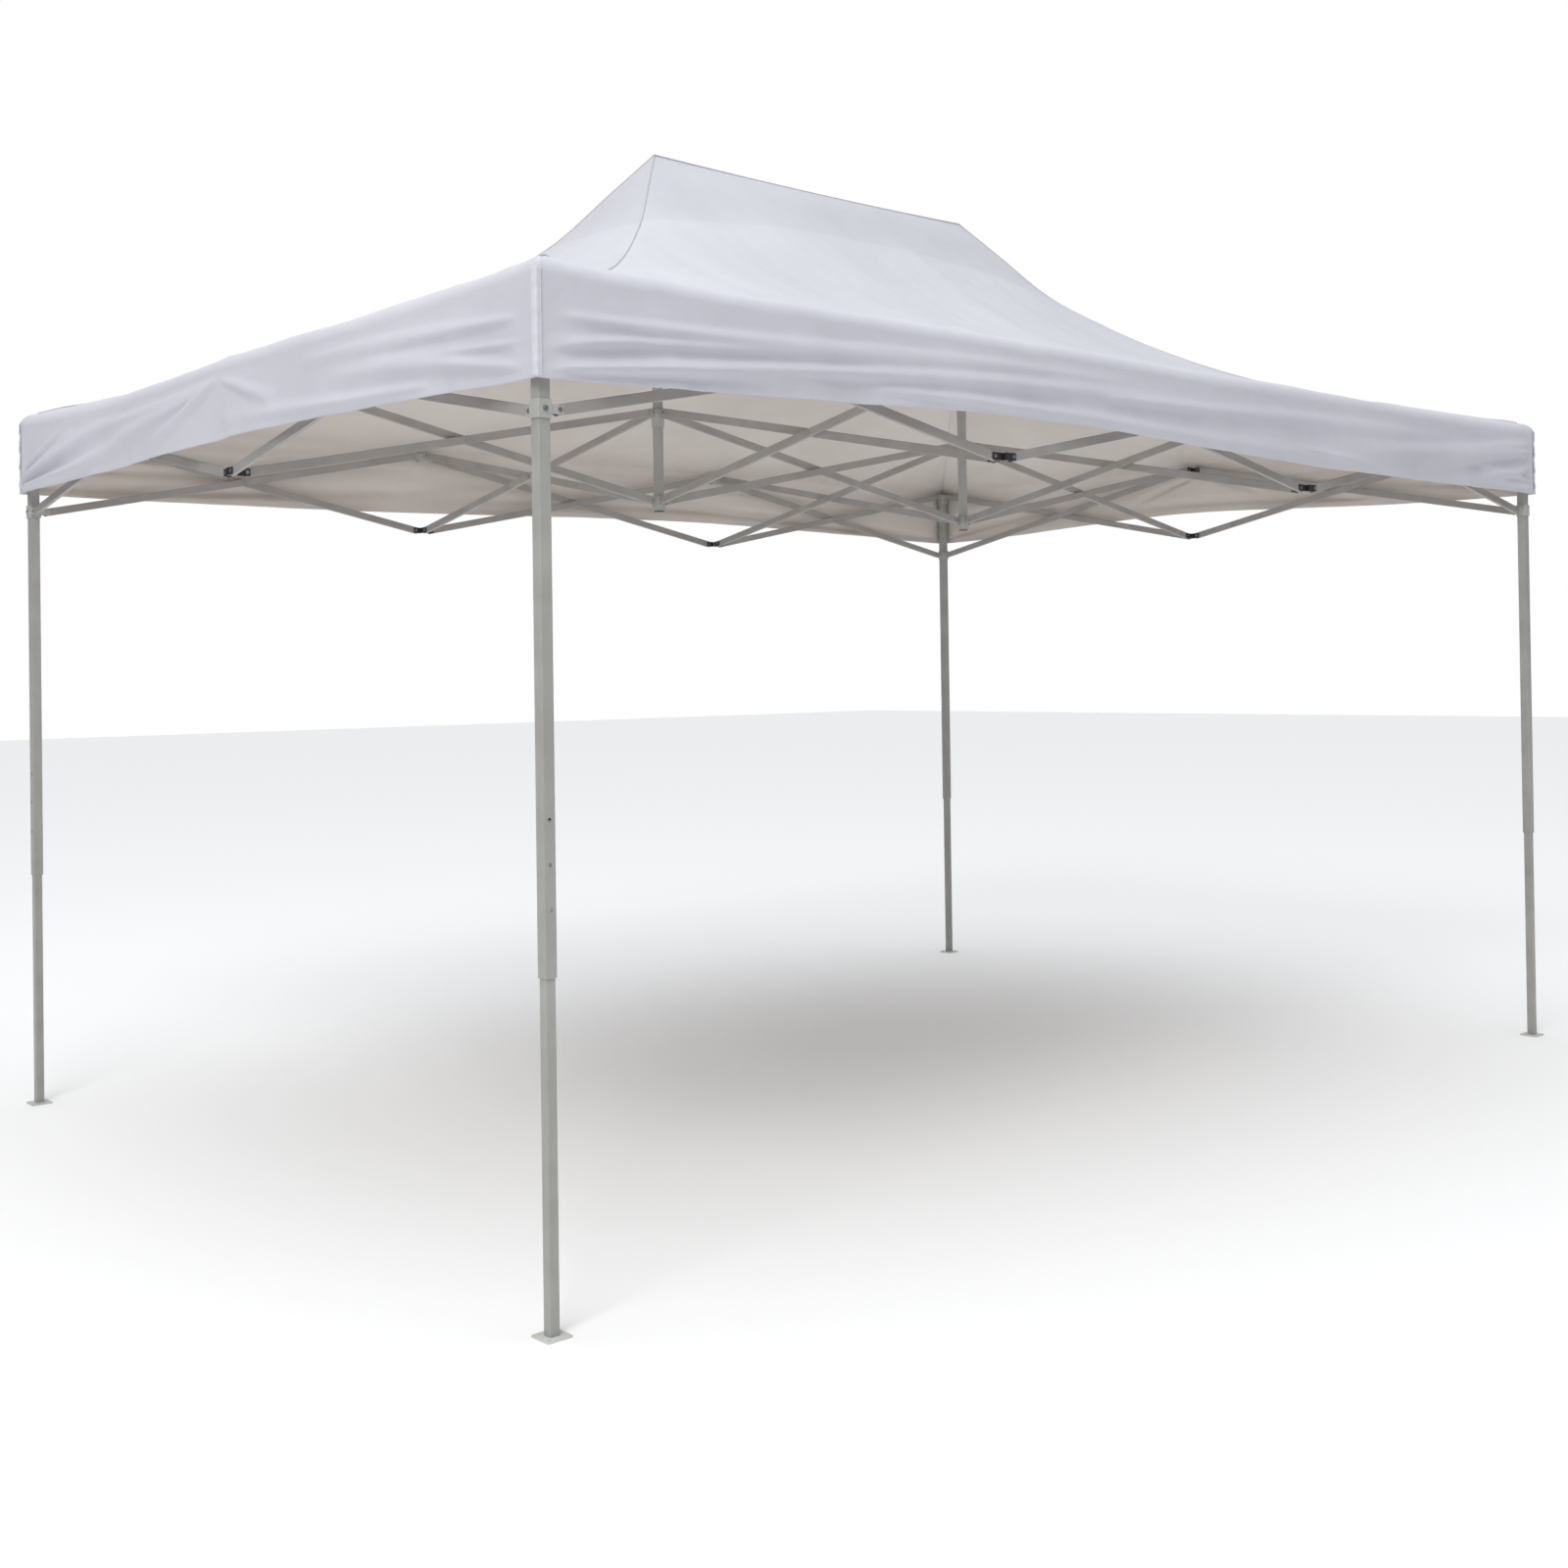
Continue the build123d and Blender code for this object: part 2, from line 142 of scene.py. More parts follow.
# ---------------------------------------------------------------- materials
def material(name):
    """A new node material, with its nodes, its links and its shader."""
    made = bpy.data.materials.new(name)
    made.use_nodes = True
    nodes = made.node_tree.nodes
    return made, nodes, made.node_tree.links, nodes["Principled BSDF"]


def noise(nodes, links, vector, scale, detail=3.0, roughness=0.55):
    """A noise texture on a coordinate."""
    node = nodes.new("ShaderNodeTexNoise")
    node.inputs["Scale"].default_value = scale
    node.inputs["Detail"].default_value = detail
    node.inputs["Roughness"].default_value = roughness
    links.new(vector, node.inputs["Vector"])
    return node.outputs["Fac"]


def ramp(nodes, links, value, low, high, dark, light):
    """Colours mixed between two values."""
    node = nodes.new("ShaderNodeValToRGB")
    node.color_ramp.elements[0].position = low
    node.color_ramp.elements[1].position = high
    node.color_ramp.elements[0].color = (*dark, 1)
    node.color_ramp.elements[1].color = (*light, 1)
    links.new(value, node.inputs["Fac"])
    return node.outputs["Color"]


def spread(nodes, links, value, low, high):
    """A value that runs from 0 to 1, mapped to a range."""
    node = nodes.new("ShaderNodeMapRange")
    node.inputs["To Min"].default_value = low
    node.inputs["To Max"].default_value = high
    links.new(value, node.inputs["Value"])
    return node.outputs["Result"]


def bump(nodes, links, height, strength, distance, under=None):
    """A bump, over another if one is given."""
    node = nodes.new("ShaderNodeBump")
    node.inputs["Strength"].default_value = strength
    node.inputs["Distance"].default_value = distance
    links.new(height, node.inputs["Height"])
    if under is not None:
        links.new(under, node.inputs["Normal"])
    return node.outputs["Normal"]


def coordinate(nodes, kind):
    """Object or UV coordinates."""
    return nodes.new("ShaderNodeTexCoord").outputs[kind]


def solid_material(name, dark, light, roughness, grain, bumpiness, metallic=0.0):
    """Paint, plastic or bare metal: mottled colour, uneven gloss and a fine grain."""
    made, nodes, links, shader = material(name)
    where = coordinate(nodes, "Object")
    cloudy = noise(nodes, links, where, 9.0)
    links.new(ramp(nodes, links, cloudy, 0.35, 0.68, dark, light), shader.inputs["Base Color"])
    worn = noise(nodes, links, where, 35.0, 4.0)
    links.new(spread(nodes, links, worn, *roughness), shader.inputs["Roughness"])
    fine = noise(nodes, links, where, grain, 2.0)
    links.new(bump(nodes, links, fine, bumpiness, 0.0004), shader.inputs["Normal"])
    shader.inputs["Metallic"].default_value = metallic
    return made


def weave(nodes, links, where, threads):
    """Warp and weft of a plain weave, as one height."""
    heights = []
    for direction in ("X", "Y"):
        band = nodes.new("ShaderNodeTexWave")
        band.wave_type = "BANDS"
        band.bands_direction = direction
        band.inputs["Scale"].default_value = threads
        band.inputs["Distortion"].default_value = 0.6
        links.new(where, band.inputs["Vector"])
        heights.append(band.outputs["Fac"])
    both = nodes.new("ShaderNodeMath")
    both.operation = "MULTIPLY"
    for index, height in enumerate(heights):
        links.new(height, both.inputs[index])
    return both.outputs["Value"]


def shaded(nodes, links, colour, label, shade):
    """A colour multiplied by a shade wherever the mesh's attribute of that name is 1."""
    attribute = nodes.new("ShaderNodeAttribute")
    attribute.attribute_name = label
    mix = nodes.new("ShaderNodeMix")
    mix.data_type = "RGBA"
    mix.blend_type = "MULTIPLY"
    first, second = [socket for socket in mix.inputs if socket.type == "RGBA"]
    second.default_value = (*shade, 1)
    links.new(attribute.outputs["Fac"], mix.inputs["Factor"])
    links.new(colour, first)
    return [socket for socket in mix.outputs if socket.type == "RGBA"][0]


def cloth_material(name, dark, light, sheen, shades=()):
    """Coated polyester: clouded colour, soft wrinkles, a fine weave, and shades where attributes say."""
    made, nodes, links, shader = material(name)
    where = coordinate(nodes, "UV")
    clouds = noise(nodes, links, where, 1.7, 4.0)
    colour = ramp(nodes, links, clouds, 0.3, 0.7, dark, light)
    for label, shade in shades:
        colour = shaded(nodes, links, colour, label, shade)
    links.new(colour, shader.inputs["Base Color"])
    crumple = noise(nodes, links, where, 6.0, 6.0, 0.62)
    creased = noise(nodes, links, where, 28.0, 4.0, 0.6)
    threads = weave(nodes, links, where, 420.0)
    soft = bump(nodes, links, crumple, 0.45, 0.012)
    small = bump(nodes, links, creased, 0.3, 0.002, soft)
    links.new(bump(nodes, links, threads, 0.12, 0.0003, small), shader.inputs["Normal"])
    links.new(spread(nodes, links, creased, 0.62, 0.8), shader.inputs["Roughness"])
    shader.inputs["Sheen Weight"].default_value = sheen
    shader.inputs["Sheen Roughness"].default_value = 0.5
    shader.inputs["Specular IOR Level"].default_value = 0.3
    return made


# name, dark and light colour, roughness from and to, grain, bumpiness, and metallic where it is metal
PAINT = solid_material("powder_coat", (0.33, 0.326, 0.308), (0.384, 0.38, 0.362), (0.36, 0.52), 900, 0.12)
BAR_PAINT = solid_material(
    "bar_powder_coat", (0.308, 0.29, 0.277), (0.362, 0.344, 0.33), (0.36, 0.52), 900, 0.12
)
MOULDING = solid_material("grey_nylon", (0.384, 0.384, 0.366), (0.455, 0.455, 0.433), (0.42, 0.6), 500, 0.15)
PLUG = solid_material("black_plastic", (0.012, 0.012, 0.013), (0.03, 0.03, 0.032), (0.3, 0.5), 600, 0.12)
STEEL = solid_material("zinc_steel", (0.32, 0.32, 0.31), (0.5, 0.5, 0.49), (0.25, 0.45), 1200, 0.08, 0.9)
PLATE = solid_material("foot_plate_paint", (0.52, 0.535, 0.51), (0.607, 0.616, 0.59), (0.4, 0.6), 700, 0.14)
# name, dark and light colour, sheen, and the shades: the double layer's own tone, and the painted shade of
# the hanging cloth
COVER_SHADES = (("double_layer", (0.95, 0.95, 0.955)), ("hanging_shade", (0.90, 0.885, 0.905)))
COVER = cloth_material("cover_cloth", (0.615, 0.62, 0.674), (0.678, 0.683, 0.737), 0.1, COVER_SHADES)
# the inside of the cover is the same cloth, and its warm tint is painted warm bounce light from the ground
UNDERSIDE_BOUNCE = cloth_material("cover_underside_painted_bounce", (0.625, 0.571, 0.531), (0.705, 0.652, 0.612), 0.05)
PIPING = cloth_material("piping_cloth", (0.536, 0.531, 0.571), (0.598, 0.594, 0.634), 0.1)


# ---------------------------------------------------------------- CAD nodes: which solid has which material
TUBE_LONG = 0.5  # a solid longer than this is a tube
POLE_TOP_LONG = 0.3  # but the inner tube of a centre pole is shorter
PIN_LONG = 0.03
PIN_ACROSS = 0.0125
PIN_ROUND = 0.0004  # the most that a pin's two sizes across may differ
PLATE_UNDER = 0.1  # a solid of an inner leg whose middle is lower than this is its foot plate
PLUG_FLAT = 0.01  # a solid of a centre pole that is no higher than this is its plug


def islands(mesh):
    """The solids of a node's mesh: for each, its polygons, the size of its box and its middle."""
    ids = {}
    at = [ids.setdefault(tuple(round(c, 5) for c in v.co), len(ids)) for v in mesh.vertices]
    leader = list(range(len(ids)))

    def find(a):
        while leader[a] != a:
            leader[a] = leader[leader[a]]
            a = leader[a]
        return a

    for polygon in mesh.polygons:
        first = find(at[polygon.vertices[0]])
        for v in polygon.vertices[1:]:
            leader[find(at[v])] = first
            first = find(first)
    groups = {}
    for polygon in mesh.polygons:
        groups.setdefault(find(at[polygon.vertices[0]]), []).append(polygon)
    found = []
    for polygons in groups.values():
        points = np.array([mesh.vertices[v].co for p in polygons for v in p.vertices])
        found.append((polygons, points.max(0) - points.min(0), points.mean(0)))
    return found


def is_pin(size):
    """A rivet or a pin lies along X or Y and has the same size across both other ways."""
    uneven = min(abs(size[2] - size[0]), abs(size[2] - size[1]))
    return uneven < PIN_ROUND and size.max() < PIN_LONG and size[2] < PIN_ACROSS


def finish_of(node, size, middle):
    """The material of one solid, from its node's name, its size and its middle."""
    if is_pin(size):
        return STEEL
    if node.startswith("bar_"):
        return BAR_PAINT if size.max() > TUBE_LONG else PLUG
    if node.startswith("inner_leg"):
        if size.max() > TUBE_LONG:
            return PAINT
        return PLATE if middle[2] < PLATE_UNDER else STEEL
    if node.startswith("pole_top"):
        return PAINT if size.max() > POLE_TOP_LONG else PLUG
    if node.startswith("centre_pole"):
        if size.max() > TUBE_LONG:
            return PAINT
        return MOULDING if size[2] > PLUG_FLAT else PLUG
    return PAINT if size.max() > TUBE_LONG else MOULDING


def dress_node(name, node):
    """Gives each solid of a CAD node its material, without touching its shape."""
    node.data.materials.clear()
    slots = []
    for polygons, size, middle in islands(node.data):
        chosen = finish_of(name, size, middle)
        if chosen not in slots:
            slots.append(chosen)
            node.data.materials.append(chosen)
        for polygon in polygons:
            polygon.material_index = slots.index(chosen)


for name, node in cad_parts.items():
    if not name.startswith("canopy_"):
        dress_node(name, node)


# ---------------------------------------------------------------- the shape of the cover
def fall(share):
    """Height above the eave as a share of the rise: steep by the peak, then easing off, on a smooth curve."""
    at, left = np.array(HIP_FALL).T
    slope = np.gradient(left, at)
    cell = np.clip(np.searchsorted(at, share, side="right") - 1, 0, len(at) - 2)
    wide = at[cell + 1] - at[cell]
    u = (share - at[cell]) / wide
    return (
        (2 * u**3 - 3 * u**2 + 1) * left[cell]
        + (u**3 - 2 * u**2 + u) * wide * slope[cell]
        + (3 * u**2 - 2 * u**3) * left[cell + 1]
        + (u**3 - u**2) * wide * slope[cell + 1]
    )


def crease(x, y, start, end, width, height, bow=0.0):
    """A soft fold along a line from start to end, bowed sideways, that fades at both ends."""
    start, end = np.array(start, float), np.array(end, float)
    run = end - start
    length = np.hypot(*run)
    along = ((x - start[0]) * run[0] + (y - start[1]) * run[1]) / length**2
    aside = ((y - start[1]) * run[0] - (x - start[0]) * run[1]) / length
    aside = aside - bow * length * 4 * along * (1 - along)
    inside = np.clip(along, 0, 1)
    fade = np.sin(math.pi * inside**0.6) ** 0.8  # it rises fast and fades slowly
    wide_here = width * (0.55 + 0.9 * inside)  # and widens on its way
    return np.where((along > 0) & (along < 1), height * fade * np.exp(-((aside / wide_here) ** 2)), 0.0)


def ripple(a, seed, waves=7):
    """Gentle irregular waves along a side, all of about the same steepness."""
    phases = np.random.default_rng(seed).uniform(0, TAU, waves)
    total = np.zeros_like(a)
    for index, phase in enumerate(phases):
        length = RIPPLE_FIRST * RIPPLE_STEP**index
        total += length * np.sin(TAU * a / length + phase + 0.8 * np.sin(TAU * a / (3.7 * length)))
    return total * RIPPLE_STEEP


# soft folds of the roof cloth, in plan: start, end, width, height, bow
ROOF_FOLDS = [
    ((-2.2, -1.46), (-1.35, -1.1), 0.035, 0.007, 0.04),
    ((-2.2, -1.45), (-1.7, -0.95), 0.04, 0.006, 0.05),
    ((-2.22, -1.4), (-1.95, -0.4), 0.035, 0.007, -0.05),
    ((-1.05, -1.44), (0.1, -1.3), 0.04, 0.006, 0.03),
    ((-0.75, -1.46), (-0.95, -0.75), 0.05, 0.006, 0.0),
    ((0.75, -1.46), (0.85, -0.8), 0.05, 0.006, 0.0),
    ((2.2, -1.46), (1.2, -1.15), 0.035, 0.007, -0.04),
    ((2.2, -1.42), (1.8, -0.75), 0.04, 0.006, -0.05),
    ((2.21, 1.45), (1.4, 1.1), 0.04, 0.007, 0.04),
    ((2.2, 1.4), (1.9, 0.5), 0.04, 0.007, -0.04),
    ((-2.2, 1.44), (-1.3, 1.15), 0.035, 0.007, -0.05),
    ((-2.21, 1.4), (-1.9, 0.6), 0.04, 0.007, 0.04),
    ((0.75, 1.46), (0.9, 0.7), 0.05, 0.006, 0.0),
    ((-0.75, 1.46), (-0.7, 0.8), 0.05, 0.006, 0.0),
    ((-2.22, 0.0), (-1.5, 0.12), 0.04, 0.008, 0.02),
    ((2.22, 0.0), (1.6, -0.1), 0.04, 0.008, 0.02),
]


def eave_dip(side, across):
    """How far the eave hangs below the leg tops, along a side: it rests on the nodes and sags between."""
    sag = np.where(across < 0, *SAGS[side])
    at_node = PEAK_X / EDGE_X if side in LONG_SIDES else 0.0
    if at_node:
        outer_bay = (abs(across) - at_node) / (1 - at_node) * 2 - 1
        bay = np.where(abs(across) < at_node, across / at_node, outer_bay)
    else:
        bay = abs(across) * 2 - 1
    node = np.clip((1 - abs(across)) / (1 - at_node), 0, 1)
    corner = np.exp(-(1 - abs(across)) * side_facts(side)[3] / CORNER_REACH)
    return NODE_DIP * node + sag * (1 - bay**2) - CORNER_PEAK * corner


def roof_height(side, share, across, x, y):
    """Height of the roof cloth at shares of the way down and across a panel, which lie at x and y in plan."""
    high = EAVE_Z + (PEAK_Z - EAVE_Z) * fall(share)
    middle = 1 - across**2
    if side in LONG_SIDES:
        lifted = (share / BULGE_AT) * np.exp(1 - share / BULGE_AT)
        high = high + BULGE * lifted * middle**0.8 - RIDGE_SAG * middle * (1 - share) ** 6
    else:
        high = high + SHORT_BULGE * np.sin(math.pi * share) * middle
    high = high - eave_dip(side, across) * share**4
    for fold in ROOF_FOLDS:
        high = high + crease(x, y, *fold)
    # the waves die out at the ridge, the hips and the eave
    calm = np.clip(share * 4, 0, 1) * np.clip((1 - abs(across)) * 8, 0, 1) * (1 - share) ** 0.3
    lane = x if side in LONG_SIDES else y
    return high + calm * ripple(lane, 11 + len(side))


def mesh_object(name, points, faces, uv, materials):
    """A smooth mesh of points and faces, with its UVs in metres."""
    mesh = bpy.data.meshes.new(name)
    mesh.from_pydata(points.reshape(-1, 3).tolist(), [], faces)
    layer = mesh.uv_layers.new(name="UVMap")
    corners = np.array([loop.vertex_index for loop in mesh.loops])
    layer.data.foreach_set("uv", uv.reshape(-1, 2)[corners].astype(np.float32).ravel())
    for each in materials:
        mesh.materials.append(each)
    mesh.validate()
    mesh.shade_smooth()
    piece = bpy.data.objects.new(name, mesh)
    bpy.context.scene.collection.objects.link(piece)
    return piece


def cloth_piece(name, points, uv, double_layer, hanging_shade):
    """A grid of points as cloth of even thickness, and how much of the double layer's tone and of the hanging
    cloth's painted shade its points take.
    """
    index = np.arange(points.shape[0] * points.shape[1]).reshape(points.shape[:2])
    quads = np.stack([index[:-1, :-1], index[1:, :-1], index[1:, 1:], index[:-1, 1:]], -1).reshape(-1, 4)
    piece = mesh_object(name, points, quads.tolist(), uv, (COVER, UNDERSIDE_BOUNCE))
    for label, each in (("double_layer", double_layer), ("hanging_shade", hanging_shade)):
        values = np.broadcast_to(each, index.shape).astype(np.float32)
        made = piece.data.attributes.new(label, "FLOAT", "POINT")
        made.data.foreach_set("value", values.ravel())
    solid = piece.modifiers.new("thickness", "SOLIDIFY")
    solid.thickness = CLOTH
    solid.offset = -1.0
    solid.use_even_offset = False
    solid.material_offset = 1
    solid.material_offset_rim = 0
    return piece


def place(side, outward, along, high):
    """Points from a distance outward, a distance along the side, and a height."""
    out_way, along_way = SIDES[side][:2]
    x = outward * out_way[0] + along * along_way[0]
    y = outward * out_way[1] + along * along_way[1]
    return np.stack([x, y, high], -1)


def side_facts(side):
    """Distance out to the ridge or peak and to the eave, and the half widths there."""
    if side in LONG_SIDES:
        return 0.0, EDGE_Y, PEAK_X, EDGE_X
    return PEAK_X, EDGE_X, 0.0, EDGE_Y


def roof_panel(side):
    """One roof panel: from the ridge or peak down to the eave, over its rounded edge and straight down."""
    start, end, half_top, half_eave = side_facts(side)
    across = np.linspace(-1, 1, COLUMNS[side])
    flat_end = 1 - ROUND / (end - start)
    flat_rows = np.concatenate([np.linspace(0, 0.5, 60)[:-1], np.linspace(0.5, flat_end, 50)])
    angles = np.linspace(0, math.pi / 2, 10)[1:]
    share = np.concatenate([flat_rows, flat_end + (1 - flat_end) * np.sin(angles), [1.0, 1.0]])[:, None]
    turned = np.concatenate([np.zeros(len(flat_rows)), angles, angles[-1:], angles[-1:]])[:, None]
    straight = np.concatenate([np.zeros(len(flat_rows) + len(angles)), [LIP - LIP_ROW, LIP]])[:, None]
    down = ROUND * (1 - np.cos(turned)) + straight
    # the cloth over the eave's rounding takes more of the hanging cloth's painted shade the further it has
    # turned down
    hanging_shade = turned / angles[-1]
    half = half_top + (half_eave - half_top) * share
    outward = start + (end - start) * share + 0 * across
    along = half * across
    flat_points = place(side, outward, along, 0 * along)
    high = roof_height(side, share, across[None, :], flat_points[..., 0], flat_points[..., 1]) - down
    points = place(side, outward, along, high)
    run = np.hypot(np.gradient(outward, axis=0), np.gradient(high, axis=0)).cumsum(0)
    uv = np.stack([along, run], -1)
    piece = cloth_piece("roof_" + side, points, uv, double_layer=share < SEAM_AT, hanging_shade=hanging_shade)
    body = "canopy_" + side
    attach(piece, body)
    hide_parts(body)
    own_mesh(piece)


# folds of the valances: start, end, width, depth, bow. A start or an end is the distance from the side's left
# end, as seen from outside, and the height above the hem
VALANCE_FOLDS = {
    "front": [
        ((0.04, 0.03), (2.6, 0.15), 0.017, 0.012, 0.01),
        ((0.06, 0.15), (2.1, 0.225), 0.016, 0.010, -0.008),
        ((0.03, 0.09), (1.3, 0.15), 0.013, 0.007, 0.01),
        ((0.02, 0.02), (0.9, 0.045), 0.010, 0.006, 0.02),
        ((1.0, 0.05), (3.5, 0.065), 0.020, 0.011, -0.01),
        ((1.9, 0.12), (3.9, 0.175), 0.018, 0.010, 0.01),
        ((4.47, 0.215), (3.1, 0.09), 0.020, 0.015, 0.02),
        ((4.46, 0.17), (3.6, 0.045), 0.017, 0.014, -0.02),
        ((4.46, 0.11), (3.9, 0.03), 0.014, 0.010, 0.02),
        ((4.46, 0.05), (4.05, 0.10), 0.012, 0.008, 0.02),
        ((4.47, 0.03), (4.1, 0.035), 0.010, 0.007, 0.0),
        ((2.9, 0.06), (3.35, 0.03), 0.010, 0.006, 0.0),
        ((0.02, 0.07), (0.3, 0.12), 0.009, 0.005, 0.0),
    ],
    "left": [
        ((2.97, 0.03), (2.1, 0.12), 0.017, 0.011, -0.02),
        ((2.95, 0.15), (1.95, 0.20), 0.016, 0.009, 0.0),
        ((2.97, 0.09), (2.3, 0.13), 0.012, 0.006, 0.0),
        ((2.6, 0.03), (1.5, 0.07), 0.016, 0.009, 0.01),
        ((1.5, 0.22), (1.05, 0.04), 0.015, 0.011, 0.02),
        ((1.5, 0.22), (0.75, 0.12), 0.017, 0.014, 0.02),
        ((1.5, 0.225), (0.6, 0.18), 0.014, 0.010, 0.01),
        ((1.52, 0.215), (1.85, 0.09), 0.013, 0.009, 0.0),
        ((0.03, 0.02), (0.85, 0.21), 0.017, 0.015, 0.02),
        ((0.03, 0.01), (1.15, 0.15), 0.018, 0.014, -0.02),
        ((0.03, 0.02), (0.5, 0.20), 0.013, 0.011, 0.0),
        ((0.03, 0.06), (0.4, 0.22), 0.011, 0.008, 0.0),
        ((0.03, 0.015), (0.8, 0.055), 0.012, 0.009, 0.0),
    ],
    "back": [
        ((0.04, 0.03), (2.2, 0.13), 0.017, 0.011, -0.01),
        ((0.06, 0.16), (1.8, 0.22), 0.016, 0.009, 0.008),
        ((0.8, 0.05), (3.3, 0.06), 0.02, 0.010, 0.01),
        ((4.46, 0.03), (2.6, 0.14), 0.017, 0.011, 0.01),
        ((4.46, 0.16), (3.0, 0.21), 0.016, 0.009, 0.0),
        ((4.46, 0.10), (3.6, 0.13), 0.012, 0.006, 0.0),
        ((1.5, 0.12), (3.1, 0.16), 0.018, 0.009, 0.0),
    ],
    "right": [
        ((0.04, 0.03), (1.0, 0.13), 0.016, 0.010, 0.02),
        ((0.04, 0.15), (1.1, 0.21), 0.015, 0.009, 0.0),
        ((1.5, 0.235), (1.15, 0.07), 0.013, 0.008, -0.02),
        ((1.5, 0.235), (1.9, 0.06), 0.013, 0.008, 0.02),
        ((2.97, 0.03), (2.1, 0.15), 0.016, 0.010, -0.02),
        ((2.96, 0.14), (2.0, 0.21), 0.015, 0.009, 0.0),
        ((0.7, 0.04), (2.2, 0.055), 0.018, 0.008, 0.01),
    ],
}


def hem_height(side, along):
    """Height of the hem: it is pulled up a little between the corners."""
    rise, centre, wide = SIDES[side][4]
    half = side_facts(side)[3]
    ends = np.clip((half - abs(along)) / HEM_EASE, 0, 1)
    return HEM_Z - HEM_UNDER + rise * np.exp(-(((along - centre) / wide) ** 2)) * ends**1.5


def valance_shape(side, rows_up):
    """Outward distance, distance along and height of a valance's points, from its top row to its hem."""
    _, end, _, half = side_facts(side)
    across = np.linspace(-1, 1, COLUMNS[side])[None, :]
    up = np.asarray(rows_up)[:, None]
    along = half * across + 0 * up
    edge = place(side, end + 0 * across[0], half * across[0], 0 * across[0])
    top = roof_height(side, 1.0, across, edge[:, 0], edge[:, 1]) - ROUND - LIP
    hem = hem_height(side, along)
    high = hem + (top - hem) * up
    from_left = half + along
    above = VALANCE_HIGH * up + 0 * along
    folds = sum(
        crease(from_left, above, begin, finish, FOLD_WIDTH * wide, deep, bow)
        for begin, finish, wide, deep, bow in VALANCE_FOLDS[side]
    )
    calm = np.clip((half - abs(along)) / CALM_EASE, 0, 1) * np.clip((1 - up) * 5, 0, 1) ** 2
    belly = BELLY * (1 - up) * np.clip((half - abs(along)) / BELLY_EASE, 0, 1)
    wave = ripple(along + 0.25 * above, 5 + len(side)) * (0.4 + 0.8 * (1 - up))
    pushed = calm * (FOLD_DEPTH * folds + belly + wave)
    most = np.where(pushed > 0, PUSH_TOP + PUSH_SLOPE * (top - high), PUSH_IN)
    outward = end + most * np.tanh(pushed / most)
    band = (up * VALANCE_HIGH < HEM_BAND) * HEM_THICK
    return outward + band, along, high


def valance(side):
    """The strip that hangs from the eave, with a doubled hem."""
    edge = HEM_BAND / VALANCE_HIGH
    # close rows keep the cloth straight below the roof's edge, and others make the step of the doubled hem
    rows_up = np.concatenate([[1, 0.9975], np.linspace(0.985, edge + 0.004, 36), np.linspace(edge, 0, 5)])
    outward, along, high = valance_shape(side, rows_up)
    points = place(side, outward, along, high)
    uv = np.stack([along, high], -1)
    # the whole valance takes the full painted shade of the hanging cloth
    piece = cloth_piece("valance_" + side, points, uv, double_layer=0.0, hanging_shade=1.0)
    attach(piece, SIDES[side][2])
    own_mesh(piece)


def run_along(path):
    """Distance along a path, at each of its points."""
    return np.r_[0, np.linalg.norm(np.diff(path, axis=0), axis=1).cumsum()]


def piping_along(name, path, ring=10):
    """A length of piping: a round cord along a path of points."""
    heading = np.gradient(path, axis=0)
    heading /= np.linalg.norm(heading, axis=1)[:, None]
    sideways = np.cross(heading, (0.0, 0.0, 1.0))
    sideways /= np.linalg.norm(sideways, axis=1)[:, None]
    upward = np.cross(sideways, heading)
    turn = np.linspace(0, TAU, ring, endpoint=False)
    rings = path[:, None, :] + PIPING_R * (
        np.cos(turn)[None, :, None] * sideways[:, None, :] + np.sin(turn)[None, :, None] * upward[:, None, :]
    )
    index = np.arange(len(path) * ring).reshape(len(path), ring)
    after = np.roll(index, -1, axis=1)
    quads = np.stack([index[:-1], after[:-1], after[1:], index[1:]], -1).reshape(-1, 4).tolist()
    ends = [index[0].tolist(), index[-1][::-1].tolist()]
    uv = np.stack(np.broadcast_arrays(turn[None, :] * PIPING_R, run_along(path)[:, None]), -1)
    return mesh_object(name, rings, quads + ends, uv, [PIPING])


def hip_path(side, end_sign):
    """Points along a hip, from the peak almost to the leg top."""
    share = np.linspace(0, 0.97, 90)
    start, end, half_top, half = side_facts(side)
    along = end_sign * (half_top + (half - half_top) * share)
    outward = start + (end - start) * share
    flat_points = place(side, outward, along, 0 * along)
    high = roof_height(side, share, np.full_like(share, end_sign), flat_points[:, 0], flat_points[:, 1])
    return place(side, outward, along, high + PIPING_PROUD)


def piping(side):
    """The piping along the two hips of a long panel; the front one has the ridge's too."""
    pieces = []
    for end_sign, end_name in ((-1, "left"), (1, "right")):
        pieces.append(piping_along(f"piping_{side}_{end_name}", hip_path(side, end_sign)))
    if side == "front":
        across = np.linspace(-1, 1, 60)
        x = PEAK_X * across
        high = roof_height(side, np.zeros_like(x), across, x, 0 * x) + PIPING_PROUD
        pieces.append(piping_along("piping_ridge", np.stack([x, 0 * x, high], -1)))
    for piece in pieces:
        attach(piece, "canopy_" + side)
        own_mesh(piece)


